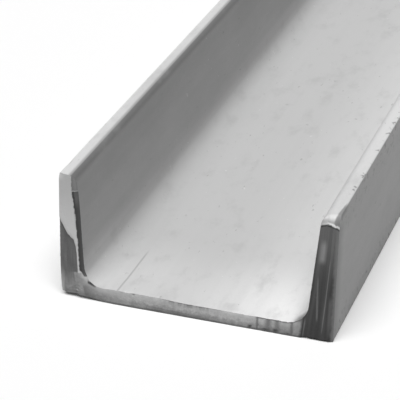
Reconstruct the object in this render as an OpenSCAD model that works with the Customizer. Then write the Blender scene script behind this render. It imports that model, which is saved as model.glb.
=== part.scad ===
// Hot-rolled steel channel bar with tapered flanges, lying on the back of its web.
// The section is a light No. 10 channel: 100 x 48 mm, web 5.3 mm, flanges 7.8 mm on average.
// Origin at the middle of the web's back face, the bar along Y, the flanges pointing up.

/* [Section] */
// Depth of the section, from the back of one flange to the back of the other
section_depth = 100; // [60:1:400]
// Width of each flange, from the back of the web to the toe
flange_width = 48; // [30:0.5:120]
// Thickness of the web
web_thickness = 5.3; // [3:0.1:16]
// Thickness of each flange, midway between the web and the toe
flange_thickness = 7.8; // [5:0.1:20]
// Slope of the inner flange face, in percent
flange_taper = 8.5; // [0:0.5:16]

/* [Radii] */
// Radius of the fillet where a flange runs into the web
root_radius = 8; // [1:0.1:16]
// Radius of the inner edge of each toe
toe_radius = 3.6; // [0.5:0.1:8]
// Radius of the outer rolled corners, at the heels and the toes
corner_radius = 0.5; // [0.2:0.1:3]

/* [Bar] */
// Length the bar is cut to
bar_length = 1000; // [100:1:12000]

/* [Hidden] */
$fn = 96;

half_depth = section_depth / 2;
// The trough is cut this far past the toes, so that no skin is left across its mouth
cut_margin = 5;
mouth_height = flange_width + cut_margin;
// The rounding circles reach this far past the faces they run into, so that they cross them cleanly
overlap = 0.001;

// Inner flange face: it leans outwards as it rises, and its length grows by the lean
slope = flange_taper / 100;
lean = sqrt(1 + slope * slope);
// Height at which the flange has its stated thickness
gauge_height = (flange_width + web_thickness) / 2;

// Distance of the inner flange face from the middle of the section, at a height above the web's back
function face_x(height) = half_depth - flange_thickness + slope * (height - gauge_height);

toe_thickness = half_depth - face_x(flange_width);
toe_round = min(toe_radius, (toe_thickness - corner_radius) / (lean - slope));

// Point where a circle of the given centre and radius touches the inner flange face.
// A positive side reaches outwards from the trough, a negative side inwards from the flange.
function touch(centre, radius, side) = centre + side * radius / lean * [1, -slope];

root_height = web_thickness + root_radius;
root_centre = [face_x(root_height) - root_radius * lean, root_height];
root_touch = touch(root_centre, root_radius, 1);

toe_height = flange_width - toe_round;
toe_centre = [face_x(toe_height) + toe_round * lean, toe_height];
toe_touch = touch(toe_centre, toe_round, -1);

// Rectangle standing on the X axis, with all four corners rounded
module rounded_block(width, height, radius) {
    translate([-width / 2, radius]) square([width, height - 2 * radius]);
    translate([-width / 2 + radius, 0]) square([width - 2 * radius, height]);
    for (x = [-1, 1], y = [radius, height - radius])
        translate([x * (width / 2 - radius), y]) circle(radius);
}

// Right half of the space between the flanges, with the root fillet left standing
module half_trough() {
    polygon([
        [0, web_thickness],
        [root_centre.x, web_thickness],
        root_touch,
        [face_x(mouth_height), mouth_height],
        [0, mouth_height]
    ]);
    translate(root_centre) circle(root_radius + overlap);
}

// Sliver taken off the inner edge of the right toe to round it
module toe_rounding() {
    difference() {
        polygon([
            toe_touch,
            toe_centre,
            [toe_centre.x, mouth_height],
            [toe_touch.x - cut_margin, mouth_height],
            [toe_touch.x - cut_margin, toe_touch.y]
        ]);
        translate(toe_centre) circle(toe_round + overlap);
    }
}

// Cross-section of the bar, in the X-Y plane with the web's back on the X axis
module channel_section() {
    difference() {
        rounded_block(section_depth, flange_width, corner_radius);
        for (side = [0, 1]) mirror([side, 0]) {
            half_trough();
            toe_rounding();
        }
    }
}

// The whole bar, rolled as one piece and cut square at both ends
module channel_bar() {
    color("silver")
        rotate([90, 0, 0])
            linear_extrude(bar_length, center = true)
                channel_section();
}

channel_bar();
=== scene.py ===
"""Looks of a hot-rolled steel channel bar that lies on the back of its web.

The bar is one mesh that carries the relief of its rolled skin and its cut ends. It is dressed in
procedural finishes and shown on a pale floor under soft light. Lengths in the classes are
millimetres, x across the bar, y along it and z up. Meshes, lamps and the camera are in metres.
"""

import logging
import math
from dataclasses import dataclass, field
from enum import Enum, IntEnum

import bpy
import numpy as np
from mathutils import Matrix, Vector, noise


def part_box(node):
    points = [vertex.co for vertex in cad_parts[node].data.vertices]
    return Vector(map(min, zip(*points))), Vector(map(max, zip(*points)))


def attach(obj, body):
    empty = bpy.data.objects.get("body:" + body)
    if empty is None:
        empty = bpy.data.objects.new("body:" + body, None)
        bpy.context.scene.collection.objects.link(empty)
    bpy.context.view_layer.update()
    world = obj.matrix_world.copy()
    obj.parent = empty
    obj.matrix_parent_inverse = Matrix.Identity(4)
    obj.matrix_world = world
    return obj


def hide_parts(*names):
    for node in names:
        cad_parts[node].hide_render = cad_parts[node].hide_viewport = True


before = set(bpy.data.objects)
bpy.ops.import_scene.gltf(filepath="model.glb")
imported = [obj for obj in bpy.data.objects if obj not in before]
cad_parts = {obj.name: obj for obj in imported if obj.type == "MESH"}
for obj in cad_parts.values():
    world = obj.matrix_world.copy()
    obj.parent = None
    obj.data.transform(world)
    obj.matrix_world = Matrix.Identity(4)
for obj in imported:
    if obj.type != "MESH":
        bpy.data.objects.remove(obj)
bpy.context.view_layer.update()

MM = 0.001
NODE = "channel_bar"
NOISE_MEAN = 0.5
LOG = logging.getLogger("channel_bar")

Array = np.ndarray
Material = bpy.types.Material
Object = bpy.types.Object
Socket = bpy.types.NodeSocket
Tree = bpy.types.NodeTree
Span = tuple[float, float]
Triple = tuple[float, float, float]


class Finish(IntEnum):
    """Material slots of the bar's mesh."""

    SKIN = 0
    CUT = 1
    SAWN = 2


class Reading(Enum):
    """Point attributes of the mesh that the finishes read, all in millimetres."""

    FROM_INNER = "from_inner"
    FROM_OUTER = "from_outer"
    EDGE_GAP = "edge_gap"


def perlin(points: Array, size: float, seed: float = 0.0) -> Array:
    """Smooth noise at many points.

    Args:
        points: Array whose last axis is x, y, z in millimetres.
        size: Width of a noise cell in millimetres.
        seed: Shift that picks another stretch of the same noise.

    Returns:
        One value for each point, about -1 to 1.
    """
    shifted = points.reshape(-1, 3) / size + seed
    values = np.array([noise.noise(Vector(row)) for row in shifted.tolist()])
    return values.reshape(points.shape[:-1])


def spots(x: Array, z: Array) -> Array:
    """Points x, 0, z on the plane of an end."""
    return np.stack([x, np.zeros_like(x), z], -1)


def ramp(value: Array, low: float, high: float) -> Array:
    """Smooth step from 0 at low to 1 at high.

    Args:
        value: Values to map.
        low: Value that gives 0.
        high: Value that gives 1; it may be under low.

    Returns:
        The mapped values.
    """
    share = np.clip((value - low) / (high - low), 0.0, 1.0)
    return share * share * (3.0 - 2.0 * share)


def line(start: Array, end: Array, cells: int) -> Array:
    """Evenly spaced points on a straight stretch, without its last point.

    Args:
        start: First point, x and z.
        end: Point where the next stretch begins.
        cells: Number of steps.

    Returns:
        One row for each step.
    """
    share = np.arange(cells)[:, None] / cells
    return np.asarray(start) * (1.0 - share) + np.asarray(end) * share


def arc(centre: Array, radius: float, start: float, end: float, cells: int) -> Array:
    """Evenly spaced points on an arc, without its last point.

    Args:
        centre: Centre, x and z.
        radius: Radius.
        start: Angle of the first point in degrees, counter-clockwise from +x.
        end: Angle where the next stretch begins.
        cells: Number of steps.

    Returns:
        One row for each step.
    """
    angle = np.radians(start + (end - start) * np.arange(cells) / cells)
    return np.asarray(centre) + radius * np.stack([np.cos(angle), np.sin(angle)], 1)


def flipped(path: Array) -> Array:
    """A path of the left half, turned over to the right half."""
    return path * (-1.0, 1.0)


@dataclass(frozen=True)
class Mottle:
    """Noise that relief is made of: its cell, its seed, how it is drawn out and what counts as full."""

    size: float
    seed: float = 0.0
    along: float = 1.0
    span: Span = (0.0, 1.0)

    def raw(self, points: Array) -> Array:
        """The noise itself, about -1 to 1."""
        return perlin(points * (1.0, self.along, 1.0), self.size, self.seed)

    def share(self, points: Array) -> Array:
        """The noise as a smooth step over its span, 0 to 1."""
        return ramp(self.raw(points), *self.span)


@dataclass(frozen=True)
class ChannelSection:
    """Cross-section of the bar, with the middle of the web's back at x 0, z 0."""

    depth: float
    flange_width: float
    web_thickness: float = 5.3
    flange_thickness: float = 7.8
    slope: float = 0.085
    root_radius: float = 8.0
    toe_radius: float = 3.6
    corner_radius: float = 0.5
    corner_cells: int = 5
    flange_cells: int = 40
    heel_side_cells: int = 10
    heel_cells: int = 6
    heel_back_cells: int = 12
    web_cells: int = 60
    toe_top_cells: int = 4
    toe_arc_cells: int = 12

    @property
    def half(self) -> float:
        """Half the depth."""
        return self.depth / 2.0

    @property
    def gauge(self) -> float:
        """Height at which the flange has its stated thickness."""
        return (self.flange_width + self.web_thickness) / 2.0

    @property
    def lean(self) -> float:
        """Length of the inner flange face for each unit of height."""
        return math.hypot(1.0, self.slope)

    @property
    def face_angle(self) -> float:
        """Lean of the inner flange face, in degrees."""
        return math.degrees(math.atan(self.slope))

    @property
    def inwards(self) -> Array:
        """Direction straight out of the left flange's inner face."""
        return np.array([1.0, self.slope]) / self.lean

    @property
    def root_cells(self) -> int:
        """Steps round the root fillet, as many as round the heel behind it."""
        return self.heel_side_cells + self.heel_cells + self.heel_back_cells

    def face_x(self, z: float) -> float:
        """Distance of the inner flange face from the middle, at a height z."""
        return self.half - self.flange_thickness + self.slope * (z - self.gauge)

    def fan(self, x: Array, z: Array) -> Array:
        """Share of the right flange's thickness that lies outside each point."""
        return (self.half - x) / (self.half - self.face_x(z))

    def root_centre(self) -> Array:
        """Centre of the left root fillet."""
        z = self.web_thickness + self.root_radius
        return np.array([-(self.face_x(z) - self.root_radius * self.lean), z])

    def toe_centre(self) -> Array:
        """Centre of the left toe's inner rounding."""
        z = self.flange_width - self.toe_radius
        return np.array([-(self.face_x(z) + self.toe_radius * self.lean), z])

    def toe_end(self) -> Array:
        """Point where the left toe's rounding runs into the inner face."""
        return self.toe_centre() + self.toe_radius * self.inwards

    def left_outer(self) -> Array:
        """Left half of the outer path, from the toe's top round the heel to the web.

        Returns:
            Rows of x and z.
        """
        r = self.corner_radius
        top = self.flange_width
        root = self.root_centre()
        return np.concatenate([
            arc((r - self.half, top - r), r, 90, 180, self.corner_cells),
            line((-self.half, top - r), (-self.half, root[1]), self.flange_cells),
            line((-self.half, root[1]), (-self.half, r), self.heel_side_cells),
            arc((r - self.half, r), r, 180, 270, self.heel_cells),
            line((r - self.half, 0.0), (root[0], 0.0), self.heel_back_cells),
            [(root[0], 0.0)],
        ])

    def left_inner(self) -> Array:
        """Left half of the inner path, from the toe's rounding down to the web.

        Returns:
            Rows of x and z.
        """
        root = self.root_centre()
        low = root - self.root_radius * self.inwards
        return np.concatenate([
            line(self.toe_end(), low, self.corner_cells + self.flange_cells),
            arc(root, self.root_radius, 180 + self.face_angle, 270, self.root_cells),
            [(root[0], self.web_thickness)],
        ])

    def left_toe(self) -> Array:
        """Top of the left toe, from its outer corner round to its inner face.

        Returns:
            Rows of x and z.
        """
        toe = self.toe_centre()
        start = (self.corner_radius - self.half, self.flange_width)
        return np.concatenate([
            line(start, (toe[0], self.flange_width), self.toe_top_cells),
            arc(toe, self.toe_radius, 90, self.face_angle, self.toe_arc_cells),
            [self.toe_end()],
        ])

    def whole(self, left: Array, web_z: float) -> Array:
        """Both halves of a path, joined across the web.

        Args:
            left: The left half, which ends where the web's flat begins.
            web_z: Height of that flat.

        Returns:
            The path from the left toe to the right toe.
        """
        across = line((left[-1, 0], web_z), (-left[-1, 0], web_z), self.web_cells)
        return np.concatenate([left[:-1], across, flipped(left)[::-1]])


@dataclass
class SectionGrid:
    """Grid over the section: rows run from toe to toe, columns from the outer to the inner path."""

    section: ChannelSection
    toe_blend: float = 9.0
    points: Array = field(init=False)
    from_inner: Array = field(init=False)
    from_outer: Array = field(init=False)

    def __post_init__(self) -> None:
        """Works out the grid's points and their distances from the section's faces."""
        sec = self.section
        outer = sec.whole(sec.left_outer(), 0.0)
        inner = sec.whole(sec.left_inner(), sec.web_thickness)
        left_toe = sec.left_toe()
        steps = np.linalg.norm(np.diff((outer + inner) / 2.0, axis=0), axis=1)
        along = np.concatenate([[0.0], np.cumsum(steps)])
        share = np.linspace(0.0, 1.0, len(left_toe))
        straight = outer[:, None] * (1.0 - share[:, None]) + inner[:, None] * share[:, None]
        near_left = ramp(along, self.toe_blend, 0.0)[:, None, None]
        near_right = ramp(along, along[-1] - self.toe_blend, along[-1])[:, None, None]
        bulge_left = left_toe - straight[0]
        bulge_right = flipped(left_toe) - straight[-1]
        self.points = straight + near_left * bulge_left + near_right * bulge_right
        thickness = np.linalg.norm(inner - outer, axis=1)[:, None]
        self.from_inner = thickness * (1.0 - share)
        self.from_outer = thickness * share

    @property
    def x(self) -> Array:
        """Distance of each point from the bar's left face."""
        return self.points[..., 0] + self.section.half

    @property
    def z(self) -> Array:
        """Height of each point."""
        return self.points[..., 1]

    @property
    def inside(self) -> Array:
        """Whether each point lies off the grid's border."""
        return np.pad(np.ones(np.subtract(self.z.shape, 2), bool), 1)

    def ring(self) -> tuple[Array, Array]:
        """The grid's border, counter-clockwise seen from the near end.

        Returns:
            Rows and columns of its points.
        """
        rows, columns = self.points.shape[0] - 1, self.points.shape[1] - 1
        up = np.arange(rows)
        out = np.arange(columns)
        row = np.concatenate([up, np.full(columns, rows), rows - up, np.zeros(columns, int)])
        column = np.concatenate([np.zeros(rows, int), out, np.full(rows, columns), columns - out])
        return row, column


@dataclass(frozen=True)
class TornStrip:
    """Strip along the left flange's inner edge where the cut tore; x is from the left face."""

    top: float = 42.1
    bottom: float = 8.7
    bottom_fade: Span = (-1.0, 1.5)
    foot: float = 20.4
    foot_lean: float = 1.27
    start: float = 4.5
    spread: float = 0.148
    slow: float = 0.0019
    ragged: float = 0.2
    border_fade: Span = (-0.1, 0.3)
    ledge: float = 0.35
    crest: float = 41.9
    crest_fade: Span = (0.4, -0.2)
    lean: float = 0.05
    low_depth: float = 0.3
    high_depth: float = 1.4
    deepens: Span = (14.0, 38.0)
    land: float = 0.65
    land_fade: float = 0.4
    least: float = 0.001

    def border(self, z: Array) -> Array:
        """Where the strip begins, across the flange, at each height."""
        down = np.clip(self.top - z, 0.0, None)
        return self.start + self.spread * down - self.slow * down * down

    def depth(self, z: Array) -> Array:
        """How far the strip's inner edge lies behind the cut, at each height."""
        return self.low_depth + (self.high_depth - self.low_depth) * ramp(z, *self.deepens)

    def recess(self, grid: SectionGrid, past: Array) -> Array:
        """Depth of the strip over the section's grid.

        Args:
            grid: The section's grid.
            past: How far each point lies inside the strip's border.

        Returns:
            Millimetres behind the cut, one for each grid point.
        """
        below = ramp(grid.z + self.lean * grid.x - self.crest, *self.crest_fade)
        bevel = np.clip(past, 0.0, None)
        share = bevel / (bevel + grid.from_inner + self.least)
        torn = ramp(past, *self.border_fade) * self.ledge * below + share * self.depth(grid.z)
        return torn * ramp(grid.z - self.bottom, *self.bottom_fade)


@dataclass(frozen=True)
class SunkPatch:
    """Darker lower half of the left flange's end, a little behind the smooth cut above it."""

    top: float = 31.0
    fall: float = 2.7
    curve: float = 0.23
    bend_start: float = 4.8
    bend: float = 2.2
    depth: float = 0.5
    rough: float = 0.4
    edge_fade: Span = (-0.25, 0.25)

    def edge(self, x: Array) -> Array:
        """Height of the patch's upper edge, at each distance from the left face."""
        past = np.clip(x - self.bend_start, 0.0, None)
        return self.top - self.fall * x + self.curve * x * x - self.bend * past * past


@dataclass(frozen=True)
class RoundedToe:
    """Right toe, rounded over at the near end above an arched edge; x is from the left face."""

    crown: float = 44.9
    middle: float = 96.2
    arch: float = 0.115
    reach: float = 3.0
    ragged: float = 0.25
    steepest: float = 0.98

    def edge(self, x: Array) -> Array:
        """Height at which the rounding begins, at each distance from the left face."""
        return self.crown - self.arch * (x - self.middle) ** 2

    def recess(self, grid: SectionGrid, fine: Array) -> Array:
        """Depth of the rounding over the section's grid.

        Args:
            grid: The section's grid.
            fine: Fine noise over it.

        Returns:
            Millimetres behind the cut, one for each grid point.
        """
        start = self.edge(grid.x) + self.ragged * fine
        climb = np.clip((grid.z - start) / (grid.section.flange_width - start), 0.0, self.steepest)
        return self.reach * (1.0 - np.sqrt(1.0 - climb**2))


@dataclass(frozen=True)
class NearCut:
    """Relief of the near end: how far each spot lies behind the bar's foremost plane."""

    strip: TornStrip = TornStrip()
    patch: SunkPatch = SunkPatch()
    toe: RoundedToe = RoundedToe()
    fine: Mottle = Mottle(1.1)
    broad: Mottle = Mottle(4.0, 7.3)
    web_groove: Mottle = Mottle(1.6, 3.1, span=(0.0, 0.6))
    fan_groove: Mottle = Mottle(1.0, 5.7, span=(-0.1, 0.5))
    flat: float = 0.08
    ripple: float = 0.05
    fine_share: float = 0.6
    left_end: Span = (16.0, 12.0)
    right_end: Span = (88.0, 91.0)
    web_left: Span = (6.0, 10.0)
    web_right: Span = (94.0, 90.0)
    heel_round: float = 3.0
    heel_depth: float = 0.3
    toe_round: float = 2.2
    toe_depth: float = 0.8
    heel_push: float = 0.6
    heel_fade: float = 6.5
    heel_reach: Span = (8.0, 1.0)
    heel_lift: float = 1.5
    lift_reach: Span = (23.0, 4.0)
    lift_height: Span = (16.0, 4.0)
    web_lift: float = 0.45
    web_lift_left: Span = (12.0, 20.0)
    web_lift_right: Span = (47.0, 37.0)
    rim_height: float = 0.9
    rim_depth: float = 0.08
    lip_height: float = 0.9
    lip_depth: float = 0.12
    groove_depth: float = 0.22
    web_grooved: Span = (66.0, 76.0)
    fan_grooves: float = 9.0
    fan_run: float = 45.0
    side_round: float = 1.5
    side_depth: float = 1.0
    settle: float = 14.0

    def recess(self, grid: SectionGrid) -> Array:
        """Depth of the relief over the section's grid.

        Args:
            grid: The section's grid.

        Returns:
            Millimetres behind the foremost plane, one for each grid point.
        """
        places = spots(grid.x, grid.z)
        fine = self.fine.raw(places)
        depth = self.flat + self.ripple * (self.broad.raw(places) + self.fine_share * fine)
        depth = depth + self.left_flange(grid, fine)
        depth = depth + self.web(grid, fine)
        depth = depth + self.right_flange(grid, fine)
        return np.clip(depth, 0.0, None)

    def left_flange(self, grid: SectionGrid, fine: Array) -> Array:
        """Torn inner edge, sunk patch and worn corners of the left flange.

        Args:
            grid: The section's grid.
            fine: Fine noise over it.

        Returns:
            Millimetres behind the cut, one for each grid point.
        """
        x, z = grid.x, grid.z
        past = x - self.strip.border(z) + self.strip.ragged * fine
        sunk = ramp(self.patch.edge(x) - z, *self.patch.edge_fade)
        sunk = sunk * ramp(past + self.strip.land, 0.0, -self.strip.land_fade)
        sunk = sunk * self.patch.depth * (1.0 + self.patch.rough * fine)
        heel = ramp(np.hypot(x, z), self.heel_round, 0.0) * self.heel_depth
        toe = ramp(np.hypot(x, grid.section.flange_width - z), self.toe_round, 0.0) * self.toe_depth
        return ramp(x, *self.left_end) * (self.strip.recess(grid, past) + sunk + heel + toe)

    def web(self, grid: SectionGrid, fine: Array) -> Array:
        """Worn lower rim, ragged upper edge and upright grooves of the web's end.

        Args:
            grid: The section's grid.
            fine: Fine noise over it.

        Returns:
            Millimetres behind the cut, one for each grid point.
        """
        flat = ramp(grid.x, *self.web_left) * ramp(grid.x, *self.web_right)
        rim = ramp(grid.from_outer, self.rim_height, 0.0) * self.rim_depth
        ragged = ramp(grid.from_inner, self.lip_height, 0.0) * self.lip_depth * (1.0 + fine)
        groove = self.web_groove.share(spots(grid.x, np.zeros_like(grid.x)))
        return flat * (rim + ragged + groove * ramp(grid.x, *self.web_grooved) * self.groove_depth)

    def right_flange(self, grid: SectionGrid, fine: Array) -> Array:
        """Grooves up the right flange, its worn outer edge and its rounded-over toe.

        Args:
            grid: The section's grid.
            fine: Fine noise over it.

        Returns:
            Millimetres behind the cut, one for each grid point.
        """
        fan = grid.section.fan(grid.points[..., 0], grid.z)
        groove = self.fan_groove.share(spots(fan * self.fan_grooves, grid.z / self.fan_run))
        side = ramp(grid.from_outer, self.side_round, 0.0) * self.side_depth
        over = self.toe.recess(grid, fine)
        return ramp(grid.x, *self.right_end) * (groove * self.groove_depth + side + over)

    def push(self, grid: SectionGrid) -> Array:
        """Shift of the section's points at the near end, where the cut bent and rubbed its edges.

        Args:
            grid: The section's grid.

        Returns:
            Shifts in x and z, one row for each grid point.
        """
        x, z = grid.x, grid.z
        web = grid.section.web_thickness
        heel = self.heel_push * np.exp(-z / self.heel_fade) * ramp(x, *self.heel_reach)
        low = self.heel_lift * ramp(x, *self.lift_reach) * ramp(z, *self.lift_height)
        high = self.web_lift * ramp(x, *self.web_lift_right) * ramp(x, *self.web_lift_left)
        rise = low * ramp(grid.from_inner, 0.0, web) + high * ramp(grid.from_outer, 0.0, web)
        return np.stack([heel, rise], -1)


@dataclass(frozen=True)
class FarCut:
    """Relief of the far end, sawn square, with its edges just broken."""

    flat: float = 0.08
    edge: float = 0.4
    saw_mark: float = 0.03
    saw_pitch: float = 1.7
    saw_slant: float = 0.18
    settle: float = 5.0

    def recess(self, grid: SectionGrid) -> Array:
        """Depth of the relief over the section's grid.

        Args:
            grid: The section's grid.

        Returns:
            Millimetres behind the bar's end plane, one for each grid point.
        """
        slant = grid.z + self.saw_slant * grid.x
        marks = np.sin(slant * 2.0 * math.pi / self.saw_pitch) * self.saw_mark
        gap = np.minimum(grid.from_inner, grid.from_outer)
        return self.flat + marks + ramp(gap, self.edge, 0.0) * self.edge


@dataclass(frozen=True)
class RolledSkin:
    """Relief of the rolled faces: long shallow waves, scale pits and nibbled edges."""

    waves: Mottle = Mottle(24.0, 1.7, along=0.4)
    wave: float = 0.04
    pits: Mottle = Mottle(5.0, 4.4, along=0.6, span=(0.3, 0.75))
    pit: float = 0.03
    bites: Mottle = Mottle(1.1, 9.2, span=(-0.2, 0.7))
    bitten: Mottle = Mottle(8.0, 2.9, span=(-0.25, 0.35))
    nibble: float = 0.2
    nibble_reach: float = 1.6
    nibble_facing: Span = (0.3, 0.9)
    bruises: Mottle = Mottle(4.5, 12.6, along=0.5, span=(0.35, 0.75))
    nick: float = 0.2
    nick_reach: float = 1.0

    def depth(self, points: Array, end_gap: Array, edge_gap: Array, upward: Array) -> Array:
        """How far each spot lies under the true rolled face.

        Args:
            points: Rows of x, y, z in millimetres.
            end_gap: Distance from the near end.
            edge_gap: Distance from the nearest rolled corner.
            upward: How far each spot faces up, -1 to 1.

        Returns:
            Millimetres into the steel, never under 0.
        """
        depth = self.wave * (1.0 + self.waves.raw(points)) / 2.0 + self.pit * self.pits.share(points)
        near = ramp(end_gap, self.nibble_reach, 0.0) * ramp(upward, *self.nibble_facing)
        depth = depth + self.nibble * near * self.bitten.share(points) * self.bites.share(points)
        return depth + self.nick * ramp(edge_gap, self.nick_reach, 0.0) * self.bruises.share(points)


@dataclass
class ChannelBar:
    """The bar itself, one mesh that stands for the solid of the same name."""

    section: ChannelSection
    length: float
    near: NearCut = NearCut()
    far: FarCut = FarCut()
    skin: RolledSkin = RolledSkin()
    finest: float = 0.35
    fine_steps: int = 12
    coarsest: float = 9.0
    growth: float = 1.11
    far_growth: float = 1.45
    crease: float = 38.0

    def widening(self, factor: float) -> list[float]:
        """Stations that start at an end and widen until they are coarse.

        Args:
            factor: How much longer each step is than the one before.

        Returns:
            Distances from the end.
        """
        places = [0.0]
        step = self.finest
        while step < self.coarsest:
            places.append(places[-1] + step)
            step *= factor
        return places

    def stations(self) -> Array:
        """Places along the bar at which the section is repeated, closest at the ends.

        Returns:
            Distances from the near end.
        """
        close = self.finest * np.arange(self.fine_steps)
        front = np.concatenate([close, close[-1] + np.array(self.widening(self.growth)[1:])])
        back = self.length - np.array(self.widening(self.far_growth)[::-1])
        count = math.ceil((back[0] - front[-1]) / self.coarsest)
        between = np.linspace(front[-1], back[0], count + 1)[1:-1]
        return np.concatenate([front, between, back])

    def edge_gap(self, ring: Array, with_bends: bool) -> Array:
        """Distance of each border point from the nearest rolled corner.

        Args:
            ring: Border points, x and z.
            with_bends: Whether the toes' inner roundings count as corners.

        Returns:
            Millimetres, one for each point.
        """
        sec = self.section
        left = [(-sec.half, sec.flange_width), (-sec.half, 0.0)]
        if with_bends:
            # half way round the toe's inner rounding
            left.append(sec.toe_centre() + sec.toe_radius * math.sqrt(0.5))
        corners = np.concatenate([left, flipped(np.array(left))])
        return np.linalg.norm(ring[:, None] - corners[None], axis=2).min(axis=1)

    def sides(self, grid: SectionGrid, near: Array, far: Array, push: Array) -> Array:
        """Points of the rolled faces, station by station.

        Args:
            grid: The section's grid.
            near: Relief of the near end over the grid.
            far: Relief of the far end over the grid.
            push: Shifts of the near end over the grid.

        Returns:
            Rows of x, y, z in millimetres.
        """
        border = grid.ring()
        ring = grid.points[border]
        stations = self.stations()
        layers = len(stations)
        front = ramp(stations, self.near.settle, 0.0)[:, None]
        back = ramp(self.length - stations, self.far.settle, 0.0)[:, None]
        points = np.empty((layers, len(ring), 3))
        points[..., 0] = ring[:, 0] + front * push[border][:, 0]
        points[..., 1] = stations[:, None] - self.length / 2.0
        points[..., 1] += front * near[border] - back * far[border]
        points[..., 2] = ring[:, 1] + front * push[border][:, 1]
        tangent = np.roll(ring, -1, axis=0) - np.roll(ring, 1, axis=0)
        tangent /= np.linalg.norm(tangent, axis=1)[:, None]
        inward = np.stack([-tangent[:, 1], np.zeros(len(ring)), tangent[:, 0]], 1)
        flat = points.reshape(-1, 3)
        turned = np.tile(inward, (layers, 1))
        end_gap = np.repeat(stations, len(ring))
        edge_gap = np.tile(self.edge_gap(ring, True), layers)
        depth = self.skin.depth(flat, end_gap, edge_gap, -turned[:, 2])
        return flat + depth[:, None] * turned

    def vertices(self, grid: SectionGrid) -> Array:
        """Points of the mesh: the rolled faces, then the inside of the near end and of the far end.

        Args:
            grid: The section's grid.

        Returns:
            Rows of x, y, z in millimetres.
        """
        near, far, push = self.near.recess(grid), self.far.recess(grid), self.near.push(grid)
        half = self.length / 2.0
        pushed = grid.points + push
        near_cap = np.stack([pushed[..., 0], near - half, pushed[..., 1]], -1)
        far_cap = np.stack([grid.points[..., 0], half - far, grid.points[..., 1]], -1)
        sides = self.sides(grid, near, far, push)
        return np.concatenate([sides, near_cap[grid.inside], far_cap[grid.inside]])

    def faces(self, grid: SectionGrid) -> tuple[Array, Array]:
        """Faces of the mesh: the rolled ones, then those of the near end and of the far end.

        Args:
            grid: The section's grid.

        Returns:
            Four point numbers for each face, and each face's material slot.
        """
        border = grid.ring()
        count, layers = len(border[0]), len(self.stations())
        around = np.arange(count)
        after = np.roll(around, -1)
        low = (np.arange(layers - 1) * count)[:, None]
        high = low + count
        walls = np.stack([low + around, high + around, high + after, low + after], -1).reshape(-1, 4)
        filling = int(grid.inside.sum())
        ends = []
        for first, layer in ((0, 0), (filling, layers - 1)):
            number = np.zeros(grid.z.shape, int)
            number[border] = layer * count + around
            number[grid.inside] = layers * count + first + np.arange(filling)
            corners = [number[:-1, :-1], number[1:, :-1], number[1:, 1:], number[:-1, 1:]]
            ends.append(np.stack(corners, -1).reshape(-1, 4))
        faces = np.concatenate([walls, ends[0], ends[1][:, ::-1]])
        return faces, np.repeat(list(Finish), [len(walls), len(ends[0]), len(ends[1])])

    def write_readings(self, mesh: bpy.types.Mesh, grid: SectionGrid) -> None:
        """Adds the point attributes that the finishes read.

        Args:
            mesh: The bar's mesh.
            grid: The section's grid.
        """
        border = grid.ring()
        gap = np.minimum(grid.from_inner, grid.from_outer)
        gap[border] = self.edge_gap(grid.points[border], False)
        values = {
            Reading.FROM_INNER: grid.from_inner,
            Reading.FROM_OUTER: grid.from_outer,
            Reading.EDGE_GAP: gap,
        }
        for name, value in values.items():
            attribute = mesh.attributes.new(name.value, "FLOAT", "POINT")
            along = np.tile(value[border], len(self.stations()))
            spread = np.concatenate([along, value[grid.inside], value[grid.inside]])
            attribute.data.foreach_set("value", spread.astype(np.float32))

    def build(self) -> Object:
        """Makes the mesh and its point attributes.

        Returns:
            The new object, with no materials yet.
        """
        grid = SectionGrid(self.section)
        faces, kinds = self.faces(grid)
        mesh = bpy.data.meshes.new(NODE)
        mesh.from_pydata((self.vertices(grid) * MM).tolist(), [], faces.tolist())
        mesh.polygons.foreach_set("material_index", kinds.astype(np.int32))
        mesh.polygons.foreach_set("use_smooth", np.ones(len(faces), bool))
        mesh.set_sharp_from_angle(angle=math.radians(self.crease))
        self.write_readings(mesh, grid)
        mesh.validate()
        bar = bpy.data.objects.new("channel_bar_steel", mesh)
        bpy.context.scene.collection.objects.link(bar)
        LOG.info("%s: %d faces, %d stations", bar.name, len(faces), len(self.stations()))
        return bar

    def dress(self, bar: Object, finishes: dict[Finish, Material]) -> None:
        """Puts the finishes on the bar and ties it to its solid.

        Args:
            bar: The bar's object.
            finishes: A material for each slot of its mesh.
        """
        for kind in Finish:
            bar.data.materials.append(finishes[kind])
        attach(bar, "root")
        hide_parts(NODE)


class Measure(Enum):
    """What fades run along: places on the bar in millimetres, directions, shares and noise."""

    X = "x"
    Z = "z"
    END_GAP = "end_gap"
    FACING = "facing"
    INNER = "inner"
    OUTER = "outer"
    CLOUD = "cloud"
    SPECKS = "specks"
    BROAD = "broad"
    FINE = "fine"
    WEAR = "wear"
    SMUDGES = "smudges"
    FLECKS = "flecks"
    FLAKES = "flakes"
    RAGGED = "ragged"
    BROKEN = "broken"
    SHADE = "shade"
    PATCHY = "patchy"
    PAST = "past"
    UNDER = "under"
    OUTSIDE = "outside"
    FAN = "fan"
    STREAK = "streak"
    OVER = "over"


@dataclass(frozen=True)
class Fade:
    """A mask along a weighted sum of measures, 0 where the sum is none and 1 where it is full.

    With a middle, the sum's distance from it counts instead, which makes a soft line.
    """

    none: float
    full: float
    weights: dict[Measure, float]
    middle: float | None = None


def fade(none: float, full: float, **weights: float) -> Fade:
    """A fade along the named measures, each times its weight."""
    return Fade(none, full, {Measure(name): weight for name, weight in weights.items()})


def stripe(middle: float, width: float, **weights: float) -> Fade:
    """A soft line, full at the middle and gone half a width away from it."""
    return Fade(width / 2.0, 0.0, {Measure(name): weight for name, weight in weights.items()}, middle)


@dataclass(frozen=True)
class Mark:
    """A patch of one tone where all its fades overlap, times its strength and the measures in times."""

    name: str
    tone: float
    strength: float
    fades: tuple[Fade, ...]
    times: tuple[Measure, ...] = ()


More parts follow.
